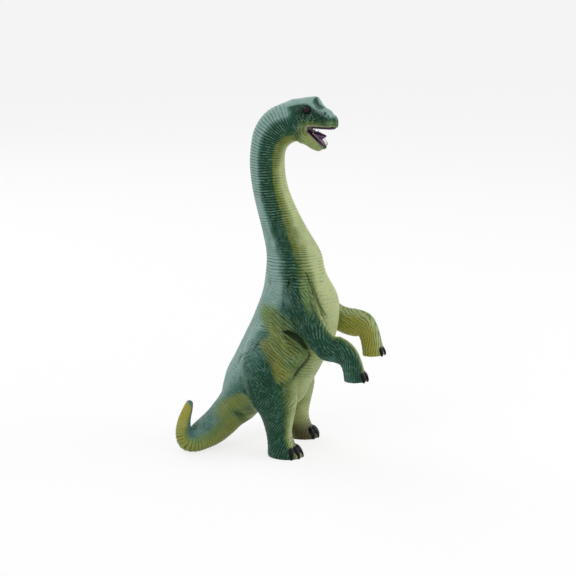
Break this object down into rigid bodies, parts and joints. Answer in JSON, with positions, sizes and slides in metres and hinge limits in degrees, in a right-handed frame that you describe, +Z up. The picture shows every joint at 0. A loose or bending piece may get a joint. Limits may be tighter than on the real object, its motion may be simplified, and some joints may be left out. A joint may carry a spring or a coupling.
{
  "type": "toy dinosaur figure",
  "caption": "Rearing long-necked sauropod toy figure that stands on its hind feet and tail, with forelegs that swivel at the shoulders.",
  "frame": {"origin": "on the floor, under the middle of the figure", "axes": "+X the way the figure faces, +Y to its left, +Z up"},
  "size_m": [0.1654, 0.0896, 0.3003],
  "materials": {
    "green_skin": "satin soft PVC, sprayed dark green over a yellow-green body colour",
    "olive_skin": "satin soft PVC, mostly the yellow-green body colour",
    "mouth_paint": "satin purple paint",
    "eye_paint": "gloss red-brown",
    "pin_nylon": "natural nylon"
  },
  "bodies": {
    "body": {"body_right_half": "green_skin", "body_left_half": "green_skin", "head": "green_skin", "lower_jaw": "olive_skin", "upper_mouth_lining": "mouth_paint", "lower_mouth_lining": "mouth_paint", "right_eye": "eye_paint", "left_eye": "eye_paint", "tail": "green_skin", "tail_tip": "olive_skin", "right_hind_leg": "green_skin", "left_hind_leg": "green_skin", "right_shoulder_bush": "pin_nylon", "left_shoulder_bush": "pin_nylon"},
    "right_foreleg": {"right_foreleg": "green_skin", "right_shoulder_pin": "pin_nylon"},
    "left_foreleg": {"left_foreleg": "green_skin", "left_shoulder_pin": "pin_nylon"}
  },
  "joints": [
    {"name": "right_shoulder", "type": "hinge", "parent": "body", "child": "right_foreleg", "pos_m": [0.0246, -0.0225, 0.1371], "axis": [0, -1, 0], "range_deg": [-10, 75]},
    {"name": "left_shoulder", "type": "hinge", "parent": "body", "child": "left_foreleg", "pos_m": [0.0246, 0.0225, 0.1371], "axis": [0, -1, 0], "range_deg": [-10, 75]}
  ]
}
